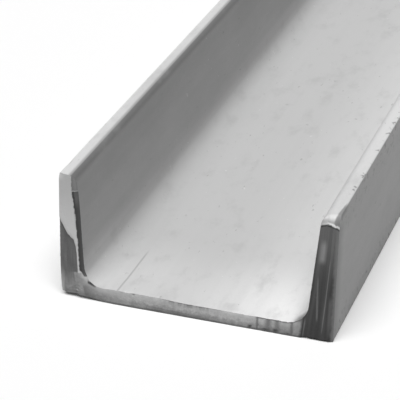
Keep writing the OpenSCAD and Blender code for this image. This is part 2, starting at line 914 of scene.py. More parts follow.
@dataclass(frozen=True)
class Clouds:
    """Noise of a shader: width of its cells in millimetres, its finer layers and their strength."""

    size: float
    detail: float
    roughness: float = 0.55


def grey(value: float) -> tuple[float, float, float, float]:
    """A neutral colour of one linear value."""
    return (value, value, value, 1.0)


class Wiring:
    """Adds nodes to a shader tree and wires them."""

    def __init__(self, tree: Tree) -> None:
        """Keeps the tree that the nodes go into."""
        self.tree = tree

    def add(self, kind: str, inputs: dict | None = None, **settings: object) -> bpy.types.Node:
        """Adds a node.

        Args:
            kind: Blender's name of the node type, without "ShaderNode" for shader nodes.
            inputs: Value or socket for each named or numbered input.
            settings: Properties of the node.

        Returns:
            The node.
        """
        name = kind if kind.startswith("NodeGroup") else "ShaderNode" + kind
        node = self.tree.nodes.new(name)
        for key, value in settings.items():
            setattr(node, key, value)
        for key, value in (inputs or {}).items():
            self.feed(node.inputs[key], value)
        return node

    def feed(self, target: Socket, value: object) -> None:
        """Links a socket to an input, or sets the input's own value.

        Args:
            target: The input.
            value: A socket, or a plain value.
        """
        if isinstance(value, bpy.types.NodeSocket):
            self.tree.links.new(value, target)
        else:
            target.default_value = value

    def math(self, operation: str, first: object, second: object = 0.0, clamp: bool = False) -> Socket:
        """A Math node's result."""
        inputs = {0: first, 1: second}
        return self.add("Math", inputs, operation=operation, use_clamp=clamp).outputs[0]

    def chain(self, operation: str, values: tuple[object, ...]) -> Socket:
        """Values joined by one Math operation, from first to last.

        Args:
            operation: The operation.
            values: Sockets and numbers.

        Returns:
            The result, which is the value itself if there is only one.
        """
        result = values[0]
        for value in values[1:]:
            result = self.math(operation, result, value)
        return result

    def total(self, *values: object) -> Socket:
        """All the values added."""
        return self.chain("ADD", values)

    def product(self, *values: object) -> Socket:
        """All the values multiplied."""
        return self.chain("MULTIPLY", values)

    def less(self, first: object, second: object) -> Socket:
        """The first value less the second."""
        return self.math("SUBTRACT", first, second)

    def step(self, value: object, low: float, high: float) -> Socket:
        """Smooth step of a value.

        Args:
            value: The value.
            low: Where the step is 0.
            high: Where it is 1; it may be under low.

        Returns:
            The step, 0 to 1.
        """
        ends = {"Value": value, "From Min": low, "From Max": high}
        if low > high:
            ends = {"Value": value, "From Min": high, "From Max": low, "To Min": 1.0, "To Max": 0.0}
        return self.add("MapRange", ends, interpolation_type="SMOOTHSTEP").outputs["Result"]

    def blend(self, factor: object, first: object, second: object, label: str = "") -> Socket:
        """A Mix node's colour.

        Args:
            factor: 0 for the first colour, 1 for the second.
            first: A colour socket or a grey.
            second: A colour socket or a grey.
            label: What the node shows as its title.

        Returns:
            The mixed colour.
        """
        node = self.add("Mix", data_type="RGBA", clamp_factor=True, label=label)
        inputs = {socket.identifier: socket for socket in node.inputs}
        self.feed(inputs["Factor_Float"], factor)
        for name, value in (("A_Color", first), ("B_Color", second)):
            self.feed(inputs[name], grey(value) if isinstance(value, float) else value)
        return next(socket for socket in node.outputs if socket.identifier == "Result_Color")

    def cloud(self, vector: Socket, kind: Clouds) -> Socket:
        """Noise of one kind over a vector in millimetres, about 0 to 1."""
        layers = {"Detail": kind.detail, "Roughness": kind.roughness}
        return self.add("TexNoise", {"Vector": vector, "Scale": 1.0 / kind.size, **layers}).outputs["Fac"]

    def stretch(self, vector: Socket, factors: Triple) -> Socket:
        """A vector with each part multiplied."""
        return self.add("VectorMath", {0: vector, 1: factors}, operation="MULTIPLY").outputs[0]

    def vector(self, x: object, y: object = 0.0) -> Socket:
        """A vector made of its x and y."""
        return self.add("CombineXYZ", {0: x, 1: y}).outputs[0]

    def place(self) -> Socket:
        """The object's own coordinates in millimetres."""
        return self.stretch(self.add("TexCoord").outputs["Object"], (1.0 / MM,) * 3)

    def parts(self, vector: Socket) -> tuple[Socket, Socket, Socket]:
        """The x, y and z of a vector."""
        split = self.add("SeparateXYZ", {0: vector})
        return split.outputs[0], split.outputs[1], split.outputs[2]

    def reading(self, name: Reading) -> Socket:
        """One of the mesh's point attributes."""
        return self.add("Attribute", attribute_name=name.value).outputs["Fac"]

    def group(self, tree: Tree, **inputs: object) -> dict[str, Socket]:
        """Places an effect group with its own values, and gives its outputs by name."""
        node = self.add("Group", inputs, node_tree=tree)
        return {socket.name: socket for socket in node.outputs}


class Brush(Wiring):
    """Wiring of a finish that knows the measures which its fades and marks run along."""

    def __init__(self, tree: Tree) -> None:
        """Starts with no measures."""
        super().__init__(tree)
        self.measures: dict[Measure, Socket] = {}

    def read(self, *measures: Measure) -> tuple[Socket, ...]:
        """The sockets of some measures."""
        return tuple(self.measures[measure] for measure in measures)

    def soft(self, edge: Fade) -> Socket:
        """The mask of one fade.

        Args:
            edge: The fade.

        Returns:
            The mask, 0 to 1.
        """
        terms = []
        for measure, weight in edge.weights.items():
            socket = self.measures[measure]
            terms.append(socket if weight == 1.0 else self.product(socket, weight))
        value = self.total(*terms)
        if edge.middle is not None:
            value = self.math("ABSOLUTE", self.less(value, edge.middle))
        return self.step(value, edge.none, edge.full)

    def mask(self, *edges: Fade) -> Socket:
        """Where all the fades overlap, 0 to 1."""
        return self.product(*[self.soft(edge) for edge in edges])

    def mix(self, edge: Fade, first: object, second: object) -> Socket:
        """The first colour, turning into the second along a fade."""
        return self.blend(self.soft(edge), first, second)

    def paint(self, colour: Socket, marks: tuple[Mark, ...]) -> Socket:
        """Marks painted over a colour, one after the other.

        Args:
            colour: The colour under them.
            marks: The marks, lowest first.

        Returns:
            The painted colour.
        """
        for mark in marks:
            masks = [self.soft(edge) for edge in mark.fades] + list(self.read(*mark.times))
            factor = self.product(*masks, mark.strength)
            colour = self.blend(factor, colour, mark.tone, mark.name)
        return colour


@dataclass
class EffectGroups:
    """Shader groups for effects that more than one finish uses, each made once."""

    patches: Clouds = Clouds(26.0, 4.0, 0.6)
    patch_share: float = 0.75
    grit: Clouds = Clouds(0.9, 4.0, 0.65)
    specks: Clouds = Clouds(1.5, 2.0, 0.5)
    speck_edge: float = 0.05
    pits: Clouds = Clouds(0.45, 3.0, 0.7)
    pit_share: float = 0.6
    chips: Clouds = Clouds(1.8, 4.0, 0.7)
    chip_reach: float = 2.4
    worn: Span = (0.9, 0.35)
    broad_lines: Clouds = Clouds(2.2, 2.0, 0.5)
    fine_lines: Clouds = Clouds(0.55, 3.0, 0.6)
    grain: Tree = field(init=False)
    wear: Tree = field(init=False)
    streaks: Tree = field(init=False)

    def __post_init__(self) -> None:
        """Makes the groups."""
        self.grain = self.make_grain()
        self.wear = self.make_wear()
        self.streaks = self.make_streaks()

    @staticmethod
    def open(
        name: str, inputs: dict[str, float | None], outputs: tuple[str, ...]
    ) -> tuple[Wiring, dict[str, Socket], dict[str, Socket]]:
        """Starts a group.

        Args:
            name: The group's name.
            inputs: Default of each input; None makes it a vector.
            outputs: Names of its value outputs.

        Returns:
            The wiring, its input sockets by name and its output sockets by name.
        """
        tree = bpy.data.node_groups.new(name, "ShaderNodeTree")
        for key, default in inputs.items():
            kind = "NodeSocketVector" if default is None else "NodeSocketFloat"
            socket = tree.interface.new_socket(key, in_out="INPUT", socket_type=kind)
            if default is not None:
                socket.default_value = default
        for key in outputs:
            tree.interface.new_socket(key, in_out="OUTPUT", socket_type="NodeSocketFloat")
        wiring = Wiring(tree)
        source = wiring.add("NodeGroupInput")
        target = wiring.add("NodeGroupOutput")
        return wiring, {s.name: s for s in source.outputs}, {s.name: s for s in target.inputs}

    def make_grain(self) -> Tree:
        """Mottled scale: soft clouds, dark specks and a fine height.

        Returns:
            The group.
        """
        names = ("Cloud", "Specks", "Height")
        wiring, given, made = self.open("scale_grain", {"Vector": None, "Speckle": 0.62}, names)
        place = given["Vector"]
        broad = wiring.product(wiring.cloud(place, self.patches), self.patch_share)
        fine = wiring.cloud(place, self.grit)
        wiring.feed(made["Cloud"], wiring.total(broad, wiring.product(fine, 1.0 - self.patch_share)))
        seed = wiring.cloud(place, self.specks)
        full = wiring.total(given["Speckle"], self.speck_edge)
        ends = {"Value": seed, "From Min": given["Speckle"], "From Max": full}
        specks = wiring.add("MapRange", ends).outputs["Result"]
        wiring.feed(made["Specks"], specks)
        pits = wiring.product(wiring.cloud(place, self.pits), self.pit_share)
        wiring.feed(made["Height"], wiring.less(wiring.total(fine, pits), specks))
        return wiring.tree

    def make_wear(self) -> Tree:
        """Rubbed edges: a mask that is full at an edge and breaks up away from it.

        Returns:
            The group.
        """
        inputs = {"Vector": None, "Gap": 1.0, "Reach": 1.0}
        wiring, given, made = self.open("edge_wear", inputs, ("Wear",))
        share = wiring.math("DIVIDE", given["Gap"], given["Reach"])
        chips = wiring.less(NOISE_MEAN, wiring.cloud(given["Vector"], self.chips))
        rough = wiring.total(share, wiring.product(chips, self.chip_reach))
        wiring.feed(made["Wear"], wiring.step(rough, *self.worn))
        return wiring.tree

    def make_streaks(self) -> Tree:
        """Drawn-out lines: broad and fine streaks that run along one direction.

        Returns:
            The group.
        """
        inputs = {"Across": 0.0, "Lengthways": 0.0, "Width": 1.0, "Reach": 40.0}
        wiring, given, made = self.open("drawn_streaks", inputs, ("Broad", "Fine"))
        across = wiring.math("DIVIDE", given["Across"], given["Width"])
        run = wiring.math("DIVIDE", given["Lengthways"], given["Reach"])
        flat = wiring.vector(across, run)
        wiring.feed(made["Broad"], wiring.cloud(flat, self.broad_lines))
        wiring.feed(made["Fine"], wiring.cloud(flat, self.fine_lines))
        return wiring.tree


@dataclass(frozen=True)
class SteelFinish:
    """What the bar's finishes share: how metallic, how rough and how deep the grain."""

    name: str
    metallic: float
    roughness: float
    grain_depth: float
    specular: float = 0.3
    rough_range: float = 0.2

    def open(self) -> tuple[Material, Brush, bpy.types.Node]:
        """Starts the material.

        Returns:
            The material, its wiring and its Principled shader.
        """
        material = bpy.data.materials.new(self.name)
        material.use_nodes = True
        shader = material.node_tree.nodes["Principled BSDF"]
        shader.inputs["Metallic"].default_value = self.metallic
        shader.inputs["Specular IOR Level"].default_value = self.specular
        return material, Brush(material.node_tree), shader

    def close(
        self, brush: Brush, shader: bpy.types.Node, colour: Socket, tone: Socket, height: Socket
    ) -> None:
        """Feeds the shader.

        Args:
            brush: The material's wiring.
            shader: Its Principled shader.
            colour: The finished colour.
            tone: Mottle that also varies the roughness.
            height: Fine relief.
        """
        brush.feed(shader.inputs["Base Color"], colour)
        smoothest = self.roughness - self.rough_range / 2.0
        rough = brush.total(smoothest, brush.product(tone, self.rough_range))
        brush.feed(shader.inputs["Roughness"], rough)
        inputs = {"Height": height, "Distance": self.grain_depth * MM, "Strength": 1.0}
        brush.feed(shader.inputs["Normal"], brush.add("Bump", inputs).outputs[0])


@dataclass(frozen=True)
class SkinFinish(SteelFinish):
    """Rolled faces: matt grey scale, paler dusty tops with painted light, rubbed edges; x is from the
    middle.
    """

    dark: float = 0.362
    light: float = 0.435
    # Tones of dusty tops, partly painted top light that makes what faces up paler than the sides.
    toe_dust_and_light: float = 0.645
    web_dust_and_light: float = 0.535
    # Painted sheen: the web's dusty colour is lighter towards its right and at its near end.
    web_dust_and_sheen: float = 0.61525
    end_dust_and_light: float = 0.625
    end_dust_and_sheen: float = 0.825
    # Tone of the painted shade on the left toe's inner rounding.
    painted_curl_shade: float = 0.14
    rubbed: float = 0.74
    speck: float = 0.18
    grain_run: Triple = (1.0, 0.35, 1.0)
    speckle: float = 0.71
    line_width: float = 2.0
    line_reach: float = 90.0
    wear_reach: float = 1.1
    smudges: Clouds = Clouds(7.0, 4.0, 0.6)
    smudge_run: Triple = (1.0, 0.5, 1.0)
    flecks: Clouds = Clouds(1.9, 2.0, 0.5)
    fleck_run: Triple = (1.0, 0.6, 1.0)
    flakes: Clouds = Clouds(2.4, 3.0, 0.6)
    mottle: Fade = fade(0.3, 0.7, cloud=0.85, broad=0.15)
    thin_dust: Fade = fade(-0.1, 0.5, cloud=0.85, broad=0.15)
    flanges: Fade = fade(30.0, 36.0, z=1.0)
    right_half: Fade = fade(-10.0, 10.0, x=1.0)
    left_toe_top: Fade = fade(0.93, 1.01, facing=1.0)
    right_toe_top: Fade = fade(0.1, 0.7, facing=1.0)
    web_top: Span = (-0.03, 0.56)
    streaked: Fade = fade(0.08, 0.35, facing=1.0)
    dust_streaks: float = 0.6
    climb: tuple[Fade, Fade] = (fade(1.0, 0.5, inner=1.0), fade(22.0, 11.0, z=1.0))
    least_climb: float = 0.36
    climb_streaks: float = 0.6
    # Painted sheen across the web, rising from the left to just before the right root fillet.
    sheen_sweep: tuple[Fade, Fade] = (fade(-5.0, 32.0, x=1.0), fade(42.0, 33.0, x=1.0))
    sheen_sweep_streaks: float = 0.35
    lit_near_end: Fade = fade(50.0, 6.0, end_gap=1.0)
    toe_mottle: Fade = fade(0.4, 0.6, cloud=1.0)

    @property
    def scratch(self) -> Mark:
        """A long scratch on the left half of the web, which is also cut into the grain."""
        return Mark("scratch", self.speck, 0.42, (
            stripe(-28.4, 1.2, x=1.0), fade(36.0, 28.0, end_gap=1.0), fade(8.0, 6.0, z=1.0),
            fade(0.2, 0.5, fine=1.0),
        ))

    def material(self, groups: EffectGroups, length: float) -> Material:
        """Builds the finish.

        Args:
            groups: The shared effects.
            length: Length of the bar, for places that are measured from its near end.

        Returns:
            The material.
        """
        material, brush, shader = self.open()
        place = brush.place()
        x, y, z = brush.parts(place)
        drawn = brush.stretch(place, self.grain_run)
        grain = brush.group(groups.grain, Vector=drawn, Speckle=self.speckle)
        lines = brush.group(
            groups.streaks, Across=brush.total(x, z), Lengthways=y,
            Width=self.line_width, Reach=self.line_reach,
        )
        gap = brush.reading(Reading.EDGE_GAP)
        edge = brush.group(groups.wear, Vector=place, Gap=gap, Reach=self.wear_reach)
        brush.measures = {
            Measure.X: x,
            Measure.Z: z,
            Measure.END_GAP: brush.total(y, length / 2.0),
            Measure.FACING: brush.parts(brush.add("TexCoord").outputs["Normal"])[2],
            Measure.INNER: brush.reading(Reading.FROM_INNER),
            Measure.OUTER: brush.reading(Reading.FROM_OUTER),
            Measure.CLOUD: grain["Cloud"],
            Measure.SPECKS: grain["Specks"],
            Measure.BROAD: lines["Broad"],
            Measure.FINE: lines["Fine"],
            Measure.WEAR: edge["Wear"],
            Measure.SMUDGES: brush.cloud(brush.stretch(place, self.smudge_run), self.smudges),
            Measure.FLECKS: brush.cloud(brush.stretch(place, self.fleck_run), self.flecks),
            Measure.FLAKES: brush.cloud(place, self.flakes),
        }
        scale = brush.mix(self.mottle, self.dark, self.light)
        # Paler on dusty tops that face up, partly painted top light.
        colour = brush.blend(self.dust_with_top_light(brush), scale, self.dust_with_sheen(brush))
        colour = brush.paint(colour, (*self.marks(), self.scratch))
        height = brush.less(grain["Height"], brush.mask(*self.scratch.fades))
        self.close(brush, shader, colour, grain["Cloud"], height)
        return material

    def dust_with_top_light(self, brush: Brush) -> Socket:
        """Dusty tops with painted top light: what faces up, a little way up the root fillets, and the toes.

        Args:
            brush: The material's wiring.

        Returns:
            The mask of the dusty tops with painted top light.
        """
        facing, broad = brush.read(Measure.FACING, Measure.BROAD)
        uneven = brush.less(broad, NOISE_MEAN)
        streaks = brush.product(uneven, brush.soft(self.streaked), self.dust_streaks)
        web = brush.step(brush.total(facing, streaks), *self.web_top)
        toes = brush.mix(self.right_half, brush.soft(self.left_toe_top), brush.soft(self.right_toe_top))
        level = brush.mix(self.flanges, web, toes)
        lift = brush.total(self.least_climb, brush.product(broad, self.climb_streaks))
        climb = brush.product(brush.mask(*self.climb), lift)
        return brush.product(brush.math("MAXIMUM", level, climb), brush.soft(self.thin_dust))

    def dust_with_sheen(self, brush: Brush) -> Socket:
        """Dusty colour with painted sheen: streaked on the web, brightest at its near end, even on the
        toes.

        Args:
            brush: The material's wiring.

        Returns:
            The colour.
        """
        (broad,) = brush.read(Measure.BROAD)
        # Painted sheen: lighter towards the web's right, and at its lit near end.
        uneven = brush.product(brush.less(broad, NOISE_MEAN), self.sheen_sweep_streaks)
        sheen_sweep = brush.total(brush.mask(*self.sheen_sweep), uneven)
        web = brush.blend(sheen_sweep, self.web_dust_and_light, self.web_dust_and_sheen)
        near = brush.blend(sheen_sweep, self.end_dust_and_light, self.end_dust_and_sheen)
        web = brush.mix(self.lit_near_end, web, near)
        toes = brush.mix(self.toe_mottle, self.toe_dust_and_light * 0.97, self.toe_dust_and_light * 1.05)
        return brush.mix(self.flanges, web, toes)

    def marks(self) -> tuple[Mark, ...]:
        """What the scale and its dusty coat bear, lowest first.

        Returns:
            The marks.
        """
        flaked = (fade(1.0, 0.5, outer=1.0), fade(0.58, 0.66, flakes=1.0))
        return (
            # Painted shade: the left toe's inner rounding is darkened where it turns from the light.
            Mark("left_toe_curl_painted_shade", self.painted_curl_shade, 0.85, (
                self.flanges, fade(5.2, 4.6, inner=1.0), fade(0.93, 0.86, facing=1.0),
                fade(0.05, 0.6, facing=1.0), fade(10.0, -10.0, x=1.0),
            )),
            Mark("smudges", self.dark, 0.3, (fade(0.5, 0.75, smudges=1.0),)),
            Mark("rubbed_edges", self.rubbed, 0.6, (fade(48.0, 45.0, x=1.0),), (Measure.WEAR,)),
            Mark("specks", self.speck, 0.35, (), (Measure.SPECKS,)),
            Mark("flecks", self.rubbed, 0.5, (fade(0.27, 0.22, flecks=1.0),)),
            Mark("low_flakes", self.speck, 0.7, (*flaked, fade(9.0, 3.0, z=1.0))),
            Mark("right_flakes", self.speck, 0.7, (
                *flaked, fade(34.0, 44.0, z=1.0), fade(0.0, 10.0, x=1.0),
            )),
            # Darker on the right outer face close to the near end.
            Mark("darker_right_side_near_end", self.speck, 0.6, (
                fade(47.0, 49.0, x=1.0), fade(10.0, 0.0, end_gap=1.0), fade(46.0, 42.0, z=1.0),
            )),
            # Painted shade on the right toe's outer corner, near the end.
            Mark("right_toe_corner_painted_shade", self.dark * 0.62, 0.85, (
                fade(48.3, 48.8, x=1.0, end_gap=-0.08), fade(45.0, 47.0, z=1.0),
                fade(14.0, 8.0, end_gap=1.0),
            )),
            # Darker low in the right root fillet, close to the near end.
            Mark("darker_right_root", self.dark * 0.65, 0.95, (
                fade(36.0, 39.5, x=1.0, cloud=3.0), fade(46.0, 44.0, x=1.0),
                fade(6.5, 1.0, end_gap=1.0), fade(11.0, 8.0, z=1.0),
            )),
        )


@dataclass(frozen=True)
class FanStreak:
    """A pale line up the right flange's end, at a share of its thickness from the outside."""

    share: float
    low: float
    high: float
    width: float
    tone: float
    lean: float = 0.0
    strength: float = 0.85
    wander: float = 0.05
    low_fade: float = 1.5
    high_fade: float = 2.0

    def mark(self) -> Mark:
        """The line as a mark that wanders a little and fades out at both ends.

        Returns:
            The mark.
        """
        middle = self.share + self.wander * NOISE_MEAN
        return Mark("fan_streak", self.tone, self.strength, (
            stripe(middle, self.width, fan=1.0, streak=self.wander, z=-self.lean),
            fade(self.low - self.low_fade, self.low + self.low_fade, z=1.0),
            fade(self.high + self.high_fade, self.high - self.high_fade, z=1.0),
        ))


FAN_STREAKS = (
    FanStreak(0.43, 3.0, 31.0, 0.06, 0.21, -0.004),
    FanStreak(0.553, 8.0, 24.0, 0.12, 0.17, 0.0092),
    FanStreak(0.685, 30.5, 38.0, 0.5, 0.30),
    FanStreak(1.06, 0.8, 7.2, 0.08, 0.24),
    FanStreak(0.16, 2.0, 17.0, 0.26, 0.12),
    FanStreak(0.06, 26.0, 42.0, 0.28, 0.155),
)


@dataclass(frozen=True)
class WebBar:
    """A dark upright mark on the web's end with a black foot; x is from the left face."""

    x: float
    width: float
    strength: float
    foot_x: float
    foot_width: float
    foot_height: float
    foot_full: float = 0.6
    ragged: float = 0.8

    def marks(self, dark: float, black: float) -> tuple[Mark, Mark]:
        """The bar and its foot as marks.

        Args:
            dark: Tone of the bar.
            black: Tone of the foot.

        Returns:
            The two marks.
        """
        return (
            Mark("web_bar", dark, self.strength, (
                stripe(self.x, self.width, x=1.0, ragged=self.ragged),
            )),
            Mark("web_bar_foot", black, 1.0, (
                stripe(self.foot_x, self.foot_width, x=1.0, ragged=self.ragged),
                fade(self.foot_height, self.foot_height * self.foot_full, outer=1.0, ragged=1.0),
            )),
        )


WEB_BARS = (
    WebBar(73.0, 1.4, 0.75, 70.4, 2.4, 2.0),
    WebBar(77.0, 4.2, 0.75, 75.9, 5.0, 1.7),
    WebBar(80.2, 3.8, 0.7, 79.6, 3.6, 2.2),
    WebBar(85.4, 1.8, 0.7, 84.2, 2.2, 1.4),
)


@dataclass(frozen=True)
class CutFinish(SteelFinish):
    """Near end: pale cut over a dark torn one, streaked web, scorched right flange; x is from the left."""

    pale: float = 0.53
    middle: float = 0.455
    patch: float = 0.145
    torn: float = 0.06
    bevel: float = 0.209
    skin: float = 0.37
    scorched: float = 0.115
    deep: float = 0.042
    rim: float = 0.13
    # Tone of the painted highlight on the right toe's edge.
    highlight_tone: float = 0.85
    # Tone of the painted highlight along the torn strip's crest.
    ledge: float = 0.6375
    speckle: float = 0.7
    streak_width: float = 0.9
    streak_reach: float = 9.0
    streak_height: float = 0.5
    fan_lines: float = 9.0
    fan_width: float = 1.0
    fan_reach: float = 22.0
    ragged: Clouds = Clouds(1.6, 4.0, 0.65)
    left_end: Fade = fade(15.0, 12.0, x=1.0)
    right_end: tuple[Fade, Fade] = (fade(1.23, 1.11, fan=1.0, ragged=0.06), fade(80.0, 82.0, x=1.0))
    web_mottle: Fade = fade(0.0, 0.5, cloud=0.5, ragged=0.7)
    gaps: Clouds = Clouds(2.6, 2.0)
    gap_span: Span = (0.3, 0.6)
    low_shade: float = 0.38
    middle_shade: float = 0.12
    middle_part: tuple[Fade, Fade] = (fade(36.0, 44.0, x=1.0), fade(68.0, 52.0, x=1.0))
    rim_patches: Clouds = Clouds(7.0, 2.0)
    rim_row: float = 4.0
    rim_span: Span = (0.35, 0.6)
    rim_least: float = 0.68
    rim_range: float = 0.3
    pale_mottle: float = 0.15
    foot_strength: float = 0.8
    seam_ragged: float = 1.5

    def material(self, groups: EffectGroups, section: ChannelSection, cut: NearCut) -> Material:
        """Builds the finish.

        Args:
            groups: The shared effects.
            section: The bar's section, for the places of its flanges.
            cut: The relief that the colours lie on.

        Returns:
            The material.
        """
        material, brush, shader = self.open()
        place = brush.place()
        across, _, z = brush.parts(place)
        x = brush.total(across, section.half)
        grain = brush.group(groups.grain, Vector=place, Speckle=self.speckle)
        upright = brush.group(
            groups.streaks, Across=x, Lengthways=z, Width=self.streak_width, Reach=self.streak_reach
        )
        brush.measures = {
            Measure.X: x,
            Measure.Z: z,
            Measure.INNER: brush.reading(Reading.FROM_INNER),
            Measure.OUTER: brush.reading(Reading.FROM_OUTER),
            Measure.RAGGED: brush.less(brush.cloud(place, self.ragged), NOISE_MEAN),
            Measure.CLOUD: grain["Cloud"],
            Measure.BROAD: upright["Broad"],
        }
        web = self.web(brush)
        left = self.left(brush, web, cut)
        right = self.right(brush, section, cut.toe, groups)
        colour = brush.mix(self.left_end, web, left)
        colour = brush.blend(brush.mask(*self.right_end), colour, right)
        height = brush.total(grain["Height"], brush.product(upright["Fine"], self.streak_height))
        self.close(brush, shader, colour, grain["Cloud"], height)
        return material

    def web(self, brush: Brush) -> Socket:
        """Colour of the web's end: mottled grey, darker below, with bars towards the right.

        Args:
            brush: The material's wiring.

        Returns:
            The colour.
        """
        (x,) = brush.read(Measure.X)
        gaps = brush.cloud(brush.vector(x), self.gaps)
        patches = brush.cloud(brush.vector(x, self.rim_row), self.rim_patches)
        patchy = brush.product(brush.step(patches, *self.rim_span), self.rim_range)
        shade = brush.product(brush.mask(*self.middle_part), self.middle_shade)
        brush.measures |= {
            Measure.BROKEN: brush.step(gaps, *self.gap_span),
            Measure.SHADE: brush.total(shade, self.low_shade),
            Measure.PATCHY: brush.total(self.rim_least, patchy),
        }
        colour = brush.mix(self.web_mottle, self.middle * 0.74, self.middle * 1.22)
        return brush.paint(colour, self.web_marks())

    def web_marks(self) -> tuple[Mark, ...]:
        """What the web's end bears, lowest first.

        Returns:
            The marks.
        """
        tear = (fade(37.0, 42.0, x=1.0), fade(62.0, 52.0, x=1.0))
        broken = (Measure.BROKEN,)
        bars = [mark for bar in WEB_BARS for mark in bar.marks(self.rim, self.torn)]
        return (
            Mark("left_shade", self.middle * 0.5, 0.42, (fade(30.0, 14.0, x=1.0),)),
            Mark("right_shade", self.middle * 0.45, 0.45, (fade(80.0, 83.0, x=1.0),)),
            Mark("pale_lip", self.middle * 1.5, 0.3, (fade(2.6, 1.0, inner=1.0),)),
            Mark("low_shade", self.middle * 0.32, 1.0, (
                fade(3.1, 1.6, outer=1.0, ragged=2.0),
            ), (Measure.SHADE,)),
            Mark("sliver", self.middle * 0.28, 0.45, (
                fade(2.75, 2.4, outer=1.0, ragged=0.9, x=0.02), fade(31.0, 36.0, x=1.0),
                fade(58.0, 50.0, x=1.0),
            )),
            Mark("right_root", self.middle * 0.36, 0.55, (fade(85.5, 89.0, x=1.0), fade(4.0, 6.5, z=1.0))),
            Mark("torn_edge", self.rim * 1.3, 0.6, (fade(1.9, 0.8, inner=1.0, ragged=1.4), *tear), broken),
            Mark("torn_lip", self.rim * 0.7, 0.6, (fade(0.7, 0.3, inner=1.0, ragged=1.4), *tear), broken),
            Mark("notch", self.rim, 0.7, (
                stripe(27.6, 2.0, x=1.0), fade(1.1, 0.5, inner=1.0, ragged=1.4),
            )),
            Mark("barred_lip", self.rim, 0.7, (
                fade(71.5, 73.5, x=1.0), fade(0.75, 0.4, inner=1.0, ragged=1.4),
            )),
            *bars,
            Mark("lower_rim", self.rim, 1.0, (
                fade(1.25, 0.45, outer=1.0, ragged=1.1), fade(5.0, 26.0, x=1.0),
            ), (Measure.PATCHY,)),
        )

    def left(self, brush: Brush, web: Socket, cut: NearCut) -> Socket:
        """Colour of the left flange's end: pale cut, dark patch, torn strip and smeared heel.

        Args:
            brush: The material's wiring.
            web: Colour of the web's end, which the heel takes over.
            cut: The relief that the colours lie on.

        Returns:
            The colour.
        """
        strip = cut.strip
        self.measure_left(brush, strip, cut.patch)
        (cloud,) = brush.read(Measure.CLOUD)
        pale = brush.mix(fade(46.0, 27.0, z=1.0), self.pale, self.pale * 1.2)
        colour = brush.blend(brush.product(cloud, self.pale_mottle), pale, self.middle)
        sunk = brush.mask(
            fade(-0.2, 0.25, under=1.0, ragged=0.9),
            fade(0.2 - strip.land, -0.1 - strip.land, past=1.0, ragged=0.35),
        )
        dark = brush.mix(fade(0.35, 0.7, broad=1.0), self.patch * 0.85, self.patch * 1.2)
        colour = brush.blend(sunk, colour, dark)
        foot = brush.product(brush.soft(fade(19.0, 11.0, z=1.0, broad=16.0)), self.foot_strength)
        wedge = brush.mask(fade(10.4, 9.8, z=1.0, ragged=1.5), fade(5.6, 6.6, x=1.0, z=0.1))
        colour = brush.blend(brush.math("MAXIMUM", foot, wedge), colour, web)
        colour = brush.paint(colour, (Mark("heel", self.patch, 0.2, (fade(8.0, 3.0, z=1.0),)),))
        torn = brush.mask(
            fade(-0.1, 0.2, past=1.0, ragged=1.1),
            fade(strip.foot - 0.2, strip.foot + 0.3, z=1.0, x=strip.foot_lean, ragged=1.2),
            fade(strip.bottom, strip.bottom + 0.6, z=1.0),
        )
        colour = brush.blend(torn, colour, self.strip(brush, strip))
        return brush.paint(colour, self.left_marks(strip))

    @staticmethod
    def measure_left(brush: Brush, strip: TornStrip, patch: SunkPatch) -> None:
        """Adds how far a spot lies inside the torn strip's border and under the patch's upper edge.

        Args:
            brush: The material's wiring.
            strip: The torn strip.
            patch: The sunk patch.
        """
        x, z = brush.read(Measure.X, Measure.Z)
        down = brush.math("MAXIMUM", brush.less(strip.top, z), 0.0)
        border = brush.total(
            strip.start, brush.product(down, strip.spread), brush.product(down, down, -strip.slow)
        )
        bend = brush.math("MAXIMUM", brush.less(x, patch.bend_start), 0.0)
        edge = brush.total(
            patch.top, brush.product(x, -patch.fall), brush.product(x, x, patch.curve),
            brush.product(bend, bend, -patch.bend),
        )
        brush.measures |= {Measure.PAST: brush.less(x, border), Measure.UNDER: brush.less(edge, z)}

    def strip(self, brush: Brush, strip: TornStrip) -> Socket:
        """Colour of the torn strip: black below its crest, above it grey with painted shade.

        Args:
            brush: The material's wiring.
            strip: The torn strip.

        Returns:
            The colour.
        """
        lower = brush.mix(fade(0.2, 2.2, past=1.0), self.torn * 0.9, self.torn * 1.6)
        upper = brush.mix(fade(0.3, 0.9, past=1.0, ragged=1.0), self.torn * 0.8, self.torn * 2.2)
        black = brush.mix(fade(34.0, 39.0, z=1.0), lower, upper)
        # Painted shade: above the crest the bevel takes a dark grey like the shaded inner face beside it.
        worn = brush.mix(fade(0.0, 1.2, past=1.0), self.skin * 0.5, self.skin * 0.72)
        above = fade(strip.crest - 0.12, strip.crest + 0.12, z=1.0, x=strip.lean)
        return brush.mix(above, black, worn)

    def left_marks(self, strip: TornStrip) -> tuple[Mark, ...]:
        """What the left flange's end bears, lowest first.

        Args:
            strip: The torn strip.

        Returns:
            The marks.
        """
        return (
            # Painted highlight along the torn strip's crest.
            Mark("strip_ledge_highlight", self.ledge, 0.8, (
                stripe(strip.crest + 0.05, 0.6, z=1.0, x=strip.lean, ragged=0.7),
                fade(-0.2, 0.1, past=1.0),
            )),
            Mark("root_dash", self.torn, 1.0, (
                stripe(11.95, 1.9, z=1.0, x=0.45, ragged=1.0), fade(10.2, 10.8, x=1.0),
                fade(13.8, 13.2, x=1.0),
            )),
            Mark("rubbed_heel", self.pale, 0.7, (fade(2.9, 1.6, x=1.0, broad=2.0), fade(14.0, 3.0, z=1.0))),
            Mark("heel_glint", self.pale, 0.6, (
                stripe(7.4, 0.4, z=1.0, x=0.45), fade(6.9, 7.2, x=1.0), fade(8.7, 8.3, x=1.0),
            )),
            Mark("heel_crack", self.rim, 0.62, (
                fade(9.5, 10.1, x=1.0, z=0.2, ragged=1.0), fade(17.5, 12.0, x=1.0, z=0.9),
                fade(6.8, 4.6, z=1.0),
            )),
        )

